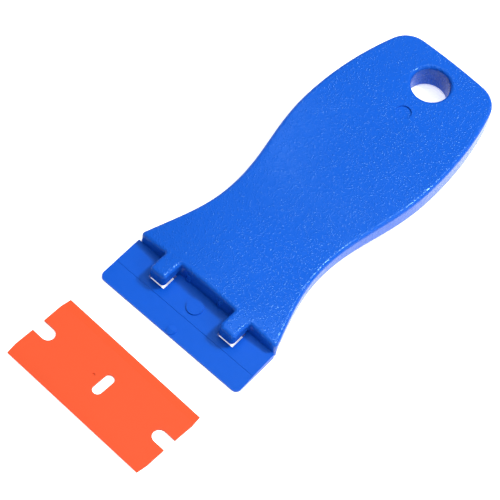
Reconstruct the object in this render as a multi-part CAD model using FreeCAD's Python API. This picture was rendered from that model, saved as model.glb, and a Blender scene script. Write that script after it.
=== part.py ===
"""Algae scraper: a flat moulded handle with a blade holder, and a loose double-edged blade.

Frame, in mm: the origin is on the underside, on the centre line, where the handle's
shoulder meets the blade plate. +Y runs along the handle to its tail, +Z is up.
"""
import FreeCAD
import Part
import math
import os

from FreeCAD import Vector

# Handle plan: half-width at each distance behind the shoulder
SIDE = ((0.0, 19.9), (8.5, 16.85), (16.5, 14.7), (24.5, 14.15), (32.8, 15.1), (40.8, 16.75),
        (49.0, 17.9), (55.5, 18.0), (65.0, 17.2), (73.5, 15.5), (81.3, 12.9))
HANDLE_END = 81.8
TAIL_CORNER_R = 6.2
SHOULDER_CORNER_R = 0.9

# Handle top: distance behind the shoulder, height on the centre line, drop at CROWN_X
TOP = ((-10.0, 6.5, 1.9), (4.0, 6.5, 1.8), (18.0, 6.1, 1.2), (32.0, 6.1, 0.6), (46.0, 6.7, 0.2),
       (60.0, 7.1, 0.0), (74.0, 7.2, 0.0), (88.0, 7.2, 0.0))
CROWN_X = 20.0
TOP_R = 0.85
BOTTOM_R = 2.0
FOOT_LENGTH = 1.0
FOOT_HEIGHT = 2.4
HULL_OVERRUN = 8.0
HULL_HALF = 30.0

# Hanging hole and the marks left by the mould's ejector pins: sunk in the tail, proud on the plate
HOLE_Y = 73.5
HOLE_R = 4.5
HOLE_RIM_R = 0.8
TAIL_MARK = (0.6, 63.4)
TAIL_MARK_R = 1.8
TAIL_MARK_HEIGHT = 7.12
PLATE_MARK = (0.0, -3.4)
PLATE_MARK_R = 1.9
MARK_DEPTH = 0.35
MARK_RISE = 0.28

# Blade: its ends are widest at the shoulders and drawn in a little at the corners and the notches
BLADE_LENGTH = 39.2
BLADE_WIDTH = 18.7
BLADE_THICKNESS = 0.5
BLADE_SHOULDER = 6.6
BLADE_CORNER_INSET = 0.3
BLADE_NOTCH_INSET = 0.1
BLADE_FLAT = 3.0
BLADE_GRIND = 7.3
BLADE_GRIND_THICKNESS = 0.44
BLADE_EDGE_THICKNESS = 0.12
NOTCH_WIDTH = 3.35
NOTCH_DEPTH = 4.6
SLOT_WIDTH = 2.3
SLOT_LENGTH = 5.8
GATE_MARK = (-3.1, 0.15)
GATE_MARK_R = 0.35
GATE_MARK_DEPTH = 0.2
BLADE_REST = Vector(-1.2, -30.37, 0.0)
BLADE_REST_TURN = -1.6

# Blade holder: the seat slopes up to the shoulder, and the seated blade lies just above it
SEAT_BACK_HEIGHT = 2.0
SEAT_SLOPE = math.tan(math.radians(6.6))
SEAT_GAP = 0.5
FINGER_GAP = 0.2
PLATE_FRONT = -12.0
PLATE_CREASE = -6.8
PLATE_STEP = 0.08
PLATE_FRONT_THICKNESS = 0.5
PLATE_FRONT_HALF = 20.05
PLATE_BACK_HALF = 19.75
PLATE_CORNER_R = 1.4
FINGER_X = 10.0
FINGER_WIDTH = 4.4
FINGER_LENGTH = 5.25
FINGER_CORNER_R = 0.95
FINGER_ROOT_R = 0.4
WINDOW_FRONT = -4.95
WINDOW_BACK = -0.85
STUD_X_R = 1.0
STUD_Y_R = 1.15
STUD_Y = -10.8
STUD_HEIGHT = 0.33
STUD_RAMP = 0.3
RIB_XS = (-5.3, 3.7)
RIB_R = 0.8
RIB_OUT = 0.3
RIB_TOP = 4.4

# Blocks that are cut down to shape, and how edges are told apart
BLANK_HEIGHT = 10.0
OVERLAP = 1.0
TOP_SPAN = (-24.0, -12.0, 0.0, 12.0, 24.0)
TOUCH = 0.01
EDGE_SAMPLES = 5


def seat(y):
    """Height of the plate's seat at y."""
    return SEAT_BACK_HEIGHT + y * SEAT_SLOPE


def finger_underside(y):
    """Height of the fingers' underside at y, just clear of the seated blade."""
    return seat(y) + SEAT_GAP + BLADE_THICKNESS + FINGER_GAP


def front_slope(y):
    """Height of the plate's thinner front zone at y."""
    rise = (seat(PLATE_CREASE) - PLATE_STEP - PLATE_FRONT_THICKNESS) / (PLATE_CREASE - PLATE_FRONT)
    return PLATE_FRONT_THICKNESS + (y - PLATE_FRONT) * rise


def prism(points, direction):
    """Solid swept from a closed polygon."""
    return Part.Face(Part.makePolygon(points + points[:1])).extrude(direction)


def side_prism(profile, half_width):
    """Solid swept across X from a profile of (y, z) points."""
    points = [Vector(-half_width, y, z) for y, z in profile]
    return prism(points, Vector(2 * half_width, 0, 0))


def box(x0, x1, y0, y1, z0, z1):
    """Box between two corners."""
    return Part.makeBox(x1 - x0, y1 - y0, z1 - z0, Vector(x0, y0, z0))


def edges_where(shape, test):
    """Edges whose sampled points all pass the test."""
    return [e for e in shape.Edges if all(test(p) for p in e.discretize(EDGE_SAMPLES))]


def is_upright(edge):
    """True for a straight edge along Z."""
    a, b = edge.Vertexes[0].Point, edge.Vertexes[-1].Point
    return math.hypot(a.x - b.x, a.y - b.y) < TOUCH < abs(a.z - b.z)


def round_uprights(shape, radius, test):
    """Round the upright edges that pass the test."""
    edges = [e for e in shape.Edges if is_upright(e) and test(e.Vertexes[0].Point)]
    return shape.makeFillet(radius, edges)


def side_curve(sign):
    """One side of the handle's plan."""
    curve = Part.BSplineCurve()
    curve.interpolate([Vector(sign * x, y, 0) for y, x in SIDE])
    return curve.toShape()


def handle_plan():
    """Flat outline of the handle behind the shoulder."""
    end_y, end_x = SIDE[-1]
    tail = Part.Arc(Vector(end_x, end_y, 0), Vector(0, HANDLE_END, 0), Vector(-end_x, end_y, 0))
    half = SIDE[0][1]
    shoulder = Part.makeLine(Vector(-half, 0, 0), Vector(half, 0, 0))
    return Part.Face(Part.Wire([shoulder, side_curve(1), tail.toShape(), side_curve(-1)]))


def above_top():
    """Everything above the handle's crowned top surface."""
    rows = []
    for y, height, drop in TOP:
        rows.append([Vector(x, y, height - drop * (x / CROWN_X) ** 2) for x in TOP_SPAN])
    surface = Part.BSplineSurface()
    surface.interpolate(rows)
    return surface.toShape().extrude(Vector(0, 0, BLANK_HEIGHT))


def finger_blocks():
    """Two blocks over the blade that the fingers are shaped from."""
    front, back = -FINGER_LENGTH, OVERLAP
    underside = [(front, finger_underside(front)), (back, finger_underside(back))]
    blocks = []
    for x in (-FINGER_X, FINGER_X):
        block = side_prism(underside + [(back, BLANK_HEIGHT), (front, BLANK_HEIGHT)], FINGER_WIDTH / 2)
        block.translate(Vector(x, 0, 0))
        blocks.append(block)
    return blocks


def at_shoulder(point):
    """True on the shoulder wall."""
    return abs(point.y) < TOUCH


def handle_block():
    """Handle and fingers under the crowned top, before the rims are rounded."""
    tail_x = SIDE[-1][1]
    block = handle_plan().extrude(Vector(0, 0, BLANK_HEIGHT))
    block = block.fuse(finger_blocks()).removeSplitter()
    block = round_uprights(block, TAIL_CORNER_R, lambda p: p.y > SIDE[-2][0])
    block = round_uprights(block, FINGER_CORNER_R, lambda p: p.y < -OVERLAP)
    block = round_uprights(block, FINGER_ROOT_R, lambda p: at_shoulder(p) and abs(p.x) < tail_x)
    block = round_uprights(block, SHOULDER_CORNER_R, lambda p: at_shoulder(p) and abs(p.x) > tail_x)
    return block.cut(above_top())


def round_top(block):
    """Round the whole top rim."""
    top = max(block.Faces, key=lambda face: face.Area * face.CenterOfMass.z)
    return block.makeFillet(TOP_R, top.OuterWire.Edges)


def soft_hull():
    """Handle plan carried on straight past the shoulder, as a block with a rounded bottom rim."""
    end_y, end_x = SIDE[-1]
    tail = Part.Arc(Vector(end_x, end_y, 0), Vector(0, HANDLE_END, 0), Vector(-end_x, end_y, 0))
    outline, front = [tail.toShape()], []
    for sign in (1, -1):
        curve = side_curve(sign)
        start = curve.valueAt(curve.FirstParameter)
        front.append(start - curve.tangentAt(curve.FirstParameter) * HULL_OVERRUN)
        outline += [curve, Part.makeLine(start, front[-1])]
    outline.append(Part.makeLine(*front))
    hull = Part.Face(Part.Wire(Part.__sortEdges__(outline))).extrude(Vector(0, 0, BLANK_HEIGHT))
    hull = round_uprights(hull, TAIL_CORNER_R, lambda p: p.y > SIDE[-2][0])
    low = edges_where(hull, lambda p: abs(p.z) < TOUCH)
    return hull.makeFillet(BOTTOM_R, [e for e in low if e.BoundBox.YLength > TOUCH])


def round_bottom(block):
    """Round the bottom rim, and leave the shoulder's foot square where the plate joins it."""
    foot = block.common(box(-PLATE_BACK_HALF, PLATE_BACK_HALF, 0.0, FOOT_LENGTH, 0.0, FOOT_HEIGHT))
    under = box(-HULL_HALF, HULL_HALF, -HULL_OVERRUN, HANDLE_END + OVERLAP, 0.0, BOTTOM_R)
    return block.cut(under.cut(soft_hull())).fuse(foot)


def plate():
    """Wedge-shaped blade plate with two windows under the fingers."""
    profile = [(PLATE_FRONT, 0.0), (0.0, 0.0), (0.0, seat(0.0)), (PLATE_CREASE, seat(PLATE_CREASE)),
               (PLATE_CREASE, front_slope(PLATE_CREASE)), (PLATE_FRONT, PLATE_FRONT_THICKNESS)]
    wedge = side_prism(profile, PLATE_FRONT_HALF + OVERLAP)
    front, back = Vector(PLATE_FRONT_HALF, PLATE_FRONT, 0), Vector(PLATE_BACK_HALF, 0, 0)
    plan = [Vector(-front.x, front.y, 0), front, back, Vector(-back.x, back.y, 0)]
    outline = prism(plan, Vector(0, 0, BLANK_HEIGHT))
    wedge = wedge.common(round_uprights(outline, PLATE_CORNER_R, lambda p: p.y < PLATE_CREASE))
    half = FINGER_WIDTH / 2
    for x in (-FINGER_X, FINGER_X):
        wedge = wedge.cut(box(x - half, x + half, WINDOW_FRONT, WINDOW_BACK, 0, BLANK_HEIGHT))
    return wedge


def stud():
    """Oval locating stud that ramps down to the plate's front edge."""
    oval = Part.Ellipse(Vector(0, STUD_Y + STUD_Y_R, 0), Vector(STUD_X_R, STUD_Y, 0), Vector(0, STUD_Y, 0))
    body = Part.Face(Part.Wire(oval.toShape())).extrude(Vector(0, 0, BLANK_HEIGHT))
    crest = front_slope(STUD_Y) + STUD_HEIGHT
    front, back = STUD_Y - STUD_Y_R, STUD_Y + STUD_Y_R
    profile = [(front, TOUCH), (back, TOUCH), (back, crest), (STUD_Y, crest), (front, crest - STUD_RAMP)]
    return body.common(side_prism(profile, STUD_X_R))


def stop_ribs():
    """Two half-round ribs on the shoulder wall."""
    height = RIB_TOP - OVERLAP
    return [Part.makeCylinder(RIB_R, height, Vector(x, RIB_R - RIB_OUT, OVERLAP)) for x in RIB_XS]


def mark_disc(centre, radius, height, slope):
    """Thick disc for an ejector mark, with its underside at the given height and slope."""
    disc = Part.makeCylinder(radius, OVERLAP)
    disc.rotate(Vector(), Vector(1, 0, 0), math.degrees(math.atan(slope)))
    disc.translate(Vector(centre[0], centre[1], height))
    return disc


def on_hole_rim(edge):
    """True for an edge that runs round the hanging hole."""
    radii = [math.hypot(p.x, p.y - HOLE_Y) for p in edge.discretize(EDGE_SAMPLES)]
    return not is_upright(edge) and all(abs(r - HOLE_R) < TOUCH for r in radii)


def cut_hole(shape):
    """Hanging hole with rounded rims."""
    shape = shape.cut(Part.makeCylinder(HOLE_R, BLANK_HEIGHT, Vector(0, HOLE_Y, 0)))
    return shape.makeFillet(HOLE_RIM_R, [e for e in shape.Edges if on_hole_rim(e)])


def handle():
    """The one-piece handle with its blade holder."""
    block = cut_hole(round_bottom(round_top(handle_block())))
    crest = seat(PLATE_MARK[1]) + MARK_RISE
    raised_mark = mark_disc(PLATE_MARK, PLATE_MARK_R, crest - OVERLAP, SEAT_SLOPE)
    block = block.fuse([plate(), stud(), raised_mark] + stop_ribs()).removeSplitter()
    return block.cut(mark_disc(TAIL_MARK, TAIL_MARK_R, TAIL_MARK_HEIGHT - MARK_DEPTH, 0.0))


def blade_section():
    """Blade profile across its width, as (y, z) points around the middle plane."""
    middle = BLADE_THICKNESS / 2
    upper = [(BLADE_WIDTH / 2, BLADE_EDGE_THICKNESS / 2), (BLADE_GRIND, BLADE_GRIND_THICKNESS / 2),
             (BLADE_FLAT, middle)]
    upper += [(-y, z) for y, z in reversed(upper)]
    return [(y, middle + z) for y, z in upper] + [(y, middle - z) for y, z in reversed(upper)]


def stadium(width, length, direction):
    """Round-ended cutter, centred on the origin, long along X or Y."""
    r = width / 2
    end = direction * (length / 2 - r)
    tip = direction * (length / 2)
    side = Vector(direction.y, -direction.x, 0) * r
    outline = [Part.makeLine(end + side, side - end), Part.Arc(side - end, -tip, -side - end).toShape(),
               Part.makeLine(-side - end, end - side), Part.Arc(end - side, tip, end + side).toShape()]
    return Part.Face(Part.Wire(outline)).extrude(Vector(0, 0, BLANK_HEIGHT))


def blade_plan():
    """Corners of the blade's outline."""
    half, edge = BLADE_LENGTH / 2, BLADE_WIDTH / 2
    end = [(half - BLADE_CORNER_INSET, -edge), (half, -BLADE_SHOULDER), (half - BLADE_NOTCH_INSET, 0),
           (half, BLADE_SHOULDER), (half - BLADE_CORNER_INSET, edge)]
    end += [(-x, -y) for x, y in end]
    return [Vector(x, y, 0) for x, y in end]


def blade():
    """Double-edged blade with a centre slot and a notch in each end, lying in front of the plate."""
    body = side_prism(blade_section(), BLADE_LENGTH)
    body = body.common(prism(blade_plan(), Vector(0, 0, BLADE_THICKNESS)))
    body = body.cut(stadium(SLOT_WIDTH, SLOT_LENGTH, Vector(0, 1, 0)))
    for x in (-BLADE_LENGTH / 2, BLADE_LENGTH / 2):
        notch = stadium(NOTCH_WIDTH, 2 * NOTCH_DEPTH, Vector(1, 0, 0))
        notch.translate(Vector(x, 0, 0))
        body = body.cut(notch)
    body = body.cut(mark_disc(GATE_MARK, GATE_MARK_R, BLADE_THICKNESS - GATE_MARK_DEPTH, 0.0))
    body.rotate(Vector(), Vector(0, 0, 1), BLADE_REST_TURN)
    body.translate(BLADE_REST)
    return body


os.makedirs("parts", exist_ok=True)
for name, shape in (("handle", handle()), ("blade", blade())):
    shape.exportStep("parts/" + name + ".step")
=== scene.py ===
"""Looks of the algae scraper: a spark-textured blue handle and a smooth orange blade on a pale floor."""
import math

import bpy
from mathutils import Matrix, Vector

MM = 0.001

# Camera: what it looks at, from where, and how far it is rolled
CAMERA_TARGET = Vector((-1.80, 16.25, 0.0)) * MM
CAMERA_AZIMUTH = math.radians(32.78)
CAMERA_ELEVATION = math.radians(58.78)
CAMERA_ROLL = math.radians(11.07)
CAMERA_DISTANCE = 631.1 * MM
CAMERA_SENSOR = 36.0
CAMERA_LENS = 209.66

# Softboxes: azimuth and elevation in degrees, size in metres, power in watts
LIGHT_DISTANCE = 0.9
LIGHTS = {
    "key_back_right": (143.0, 57.0, 0.14, 7.5),
    "overhead": (150.0, 86.0, 0.55, 3.8),
    "sheen_back_left": (222.0, 63.0, 0.12, 0.45),
    "side_right": (88.0, 32.0, 0.60, 3.2),
}
AMBIENT = 0.19

# Floor
FLOOR_SIZE = 6.0
FLOOR_COLOR = (0.90, 0.90, 0.90, 1.0)
FLOOR_GLOW = 0.58
FLOOR_ROUGHNESS = 0.9
FLOOR_SPECULAR = 0.1

# Both plastics
PLASTIC_IOR = 1.46

# Handle plastic. A pair is what noise of 0 and noise of 1 give.
GRIP_COLOR = (0.006, 0.081, 0.47)
GRIP_CLOUD_SIZE = 14 * MM
GRIP_CLOUD_SHADES = (0.93, 1.07)
MOTTLE_SIZE = 1.2 * MM
MOTTLE_ROUGHNESS = 0.65
MOTTLE_SHADE = 1.12
MOTTLE_SHARE = (0.0, 0.5)
PLATE_COLOR = (0.001, 0.070, 0.48)
PLATE_SHADES = (0.95, 1.05)
PLATE_ROUGHNESS = (0.26, 0.36)
HANDLE_SPECULAR = 0.22
GLOSS_TINT = (0.45, 0.85, 1.0, 1.0)
RIPPLE_SIZE = 3.0 * MM
RIPPLE_HEIGHT = 0.02 * MM

# The plate is what lies ahead of the shoulder and below the fingers
PLATE_TOP = 3.1 * MM
SHOULDER = 0.0
MASK_SOFTNESS = 0.15 * MM

# Spark texture: scattered domes, taller and lower in patches, and a gloss of its own
GRAIN = 0.50 * MM
GRAIN_HEIGHT = 0.062 * MM
DOME_TOP = 0.05
DOME_FOOT = 0.55
DOME_PATCH = 2.0 * GRAIN
DOME_HEIGHTS = (0.3, 1.7)
GRAIN_GLOSS = 0.14

# Blade plastic, with the same kind of pairs
BLADE_COLOR = (0.66, 0.073, 0.020)
BLADE_CLOUD_SIZE = 9 * MM
BLADE_CLOUD_SHADES = (0.96, 1.03)
BLADE_ROUGHNESS = (0.34, 0.46)
BLADE_SPECULAR = 0.15
SPECK_SIZE = 0.5 * MM
SPECK_SHADE = 0.93
SPECK_SHARE = (0.0, 0.35)
SPECK_HEIGHT = 0.006 * MM


class Shader:
    """A material's node tree, with short calls that add and link nodes."""

    def __init__(self, name):
        self.material = bpy.data.materials.new(name)
        self.material.use_nodes = True
        self.tree = self.material.node_tree
        self.bsdf = self.tree.nodes["Principled BSDF"]
        self.coords = self.tree.nodes.new("ShaderNodeTexCoord")

    def link(self, source, target):
        """Link an output to an input."""
        self.tree.links.new(source, target)

    def feed(self, socket, value):
        """Link an output to a socket, or set the socket to a plain value."""
        if isinstance(value, bpy.types.NodeSocket):
            self.link(value, socket)
        else:
            socket.default_value = value

    def math(self, operation, *values):
        """Math node."""
        node = self.tree.nodes.new("ShaderNodeMath")
        node.operation = operation
        for socket, value in zip(node.inputs, values):
            self.feed(socket, value)
        return node.outputs[0]

    def inverse(self, value):
        """One minus a value."""
        return self.math("SUBTRACT", 1.0, value)

    def step(self, value, low, high):
        """Smooth step from 0 at low to 1 at high."""
        node = self.tree.nodes.new("ShaderNodeMapRange")
        node.interpolation_type = "SMOOTHSTEP"
        self.feed(node.inputs["Value"], value)
        node.inputs["From Min"].default_value = low
        node.inputs["From Max"].default_value = high
        return node.outputs["Result"]

    def spread(self, value, low, high):
        """Map 0..1 to low..high."""
        node = self.tree.nodes.new("ShaderNodeMapRange")
        self.feed(node.inputs["Value"], value)
        node.inputs["To Min"].default_value = low
        node.inputs["To Max"].default_value = high
        return node.outputs["Result"]

    def noise(self, feature, detail=2.0, roughness=0.5):
        """Noise whose features are about the given size in metres."""
        node = self.tree.nodes.new("ShaderNodeTexNoise")
        self.link(self.coords.outputs["Object"], node.inputs["Vector"])
        node.inputs["Scale"].default_value = 1.0 / feature
        node.inputs["Detail"].default_value = detail
        node.inputs["Roughness"].default_value = roughness
        return node.outputs["Fac"]

    def cells(self, feature):
        """Distance to the nearest of scattered points that are about one feature apart."""
        node = self.tree.nodes.new("ShaderNodeTexVoronoi")
        self.link(self.coords.outputs["Object"], node.inputs["Vector"])
        node.inputs["Scale"].default_value = 1.0 / feature
        return node.outputs["Distance"]

    def mix(self, factor, a, b):
        """Mix of two colours."""
        node = self.tree.nodes.new("ShaderNodeMix")
        node.data_type = "RGBA"
        self.feed(node.inputs["Factor"], factor)
        for socket, value in ((node.inputs["A"], a), (node.inputs["B"], b)):
            self.feed(socket, (*value, 1.0) if isinstance(value, tuple) else value)
        return node.outputs["Result"]

    def bump(self, height, distance, normal=None):
        """Bump of the given height in metres."""
        node = self.tree.nodes.new("ShaderNodeBump")
        self.feed(node.inputs["Height"], height)
        node.inputs["Distance"].default_value = distance
        if normal is not None:
            self.link(normal, node.inputs["Normal"])
        return node.outputs["Normal"]

    def place(self):
        """X, Y and Z in the object's frame."""
        node = self.tree.nodes.new("ShaderNodeSeparateXYZ")
        self.link(self.coords.outputs["Object"], node.inputs[0])
        return node.outputs

    def set_gloss(self, specular):
        """Give the plastic its refraction and the strength of its highlights."""
        self.bsdf.inputs["IOR"].default_value = PLASTIC_IOR
        self.bsdf.inputs["Specular IOR Level"].default_value = specular


def shade(color, factor):
    """A colour made lighter or darker."""
    return tuple(c * factor for c in color)


def shades(color, factors):
    """A colour's darkest and lightest shades."""
    return [shade(color, factor) for factor in factors]


def plate_mask(s):
    """1 on the blade plate and 0 on the grip and the fingers."""
    _, y, z = s.place()
    ahead = s.inverse(s.step(y, SHOULDER - MASK_SOFTNESS, SHOULDER + MASK_SOFTNESS))
    low = s.inverse(s.step(z, PLATE_TOP - MASK_SOFTNESS, PLATE_TOP + MASK_SOFTNESS))
    return s.math("MULTIPLY", ahead, low)


def spark_texture(s, strength):
    """Normal of the fine domes that spark erosion leaves in a mould."""
    domes = s.inverse(s.step(s.cells(GRAIN), DOME_TOP, DOME_FOOT))
    domes = s.math("MULTIPLY", domes, s.spread(s.noise(DOME_PATCH), *DOME_HEIGHTS))
    return s.bump(s.math("MULTIPLY", domes, strength), GRAIN_HEIGHT)


def handle_plastic():
    """Blue plastic: spark texture on the grip and the fingers, smoother on the blade plate."""
    s = Shader("handle_plastic")
    plate = plate_mask(s)
    textured = s.inverse(plate)

    cloud = s.noise(GRIP_CLOUD_SIZE, detail=3.0)
    mottle = s.noise(MOTTLE_SIZE, detail=4.0, roughness=MOTTLE_ROUGHNESS)
    grip = s.mix(cloud, *shades(GRIP_COLOR, GRIP_CLOUD_SHADES))
    grip = s.mix(s.spread(mottle, *MOTTLE_SHARE), grip, shade(GRIP_COLOR, MOTTLE_SHADE))
    flat = s.mix(mottle, *shades(PLATE_COLOR, PLATE_SHADES))
    s.feed(s.bsdf.inputs["Base Color"], s.mix(plate, grip, flat))

    grained = spark_texture(s, textured)
    s.feed(s.bsdf.inputs["Normal"], s.bump(s.noise(RIPPLE_SIZE), RIPPLE_HEIGHT, grained))
    gloss = s.math("MULTIPLY", textured, GRAIN_GLOSS)
    rough = s.math("SUBTRACT", s.spread(mottle, *PLATE_ROUGHNESS), gloss)
    s.feed(s.bsdf.inputs["Roughness"], rough)
    s.set_gloss(HANDLE_SPECULAR)
    s.bsdf.inputs["Specular Tint"].default_value = GLOSS_TINT
    return s.material


def blade_plastic():
    """Smooth orange plastic with faint mould ripple."""
    s = Shader("blade_plastic")
    cloud = s.noise(BLADE_CLOUD_SIZE, detail=3.0)
    speck = s.noise(SPECK_SIZE, detail=3.0)
    color = s.mix(cloud, *shades(BLADE_COLOR, BLADE_CLOUD_SHADES))
    color = s.mix(s.spread(speck, *SPECK_SHARE), color, shade(BLADE_COLOR, SPECK_SHADE))
    s.feed(s.bsdf.inputs["Base Color"], color)
    s.feed(s.bsdf.inputs["Roughness"], s.spread(cloud, *BLADE_ROUGHNESS))
    s.feed(s.bsdf.inputs["Normal"], s.bump(speck, SPECK_HEIGHT))
    s.set_gloss(BLADE_SPECULAR)
    return s.material


def floor_paper():
    """Pale matte paper on a softly glowing light table."""
    s = Shader("floor_paper")
    s.bsdf.inputs["Base Color"].default_value = FLOOR_COLOR
    s.bsdf.inputs["Roughness"].default_value = FLOOR_ROUGHNESS
    s.bsdf.inputs["Specular IOR Level"].default_value = FLOOR_SPECULAR
    s.bsdf.inputs["Emission Color"].default_value = FLOOR_COLOR
    s.bsdf.inputs["Emission Strength"].default_value = FLOOR_GLOW
    return s.material


def dress(node, material):
    """Give a CAD node its material."""
    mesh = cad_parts[node].data
    mesh.materials.clear()
    mesh.materials.append(material)


def add_floor():
    """Plain pale floor under the tool."""
    bpy.ops.mesh.primitive_plane_add(size=FLOOR_SIZE)
    floor = bpy.context.object
    floor.name = "floor"
    floor.data.materials.append(floor_paper())


def direction(azimuth, elevation):
    """Unit vector from the object, with azimuth 0 towards -Y and turning towards +X."""
    flat = math.cos(elevation)
    return Vector((math.sin(azimuth) * flat, -math.cos(azimuth) * flat, math.sin(elevation)))


def add_light(name, azimuth, elevation, size, power):
    """Square softbox that faces the tool."""
    data = bpy.data.lights.new(name, "AREA")
    data.size = size
    data.energy = power
    lamp = bpy.data.objects.new(name, data)
    away = direction(math.radians(azimuth), math.radians(elevation))
    lamp.location = away * LIGHT_DISTANCE
    lamp.rotation_euler = away.to_track_quat("Z", "Y").to_euler()
    bpy.context.scene.collection.objects.link(lamp)


def add_world():
    """Even pale light from all round."""
    world = bpy.data.worlds.new("studio")
    world.use_nodes = True
    background = world.node_tree.nodes["Background"]
    background.inputs["Color"].default_value = (1.0, 1.0, 1.0, 1.0)
    background.inputs["Strength"].default_value = AMBIENT
    bpy.context.scene.world = world


def add_camera():
    """Long-lens camera, rolled a little about its line of sight."""
    data = bpy.data.cameras.new("camera")
    data.sensor_width = CAMERA_SENSOR
    data.lens = CAMERA_LENS
    back = direction(CAMERA_AZIMUTH, CAMERA_ELEVATION)
    right = Vector((math.cos(CAMERA_AZIMUTH), math.sin(CAMERA_AZIMUTH), 0.0))
    up = back.cross(right)
    turned_right = right * math.cos(CAMERA_ROLL) + up * math.sin(CAMERA_ROLL)
    turned_up = up * math.cos(CAMERA_ROLL) - right * math.sin(CAMERA_ROLL)
    pose = Matrix((turned_right, turned_up, back)).transposed().to_4x4()
    pose.translation = CAMERA_TARGET + back * CAMERA_DISTANCE
    camera = bpy.data.objects.new("camera", data)
    camera.matrix_world = pose
    bpy.context.scene.collection.objects.link(camera)
    bpy.context.scene.camera = camera


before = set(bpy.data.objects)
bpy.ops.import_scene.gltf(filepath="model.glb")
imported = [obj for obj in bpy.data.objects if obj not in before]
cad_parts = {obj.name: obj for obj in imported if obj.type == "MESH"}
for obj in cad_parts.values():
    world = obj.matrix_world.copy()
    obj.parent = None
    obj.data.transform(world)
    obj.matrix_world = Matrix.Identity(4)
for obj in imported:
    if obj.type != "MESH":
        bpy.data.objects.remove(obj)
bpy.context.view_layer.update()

dress("handle", handle_plastic())
dress("blade", blade_plastic())

add_floor()
add_world()
for name, settings in LIGHTS.items():
    add_light(name, *settings)
add_camera()
bpy.context.scene.view_settings.view_transform = "Standard"
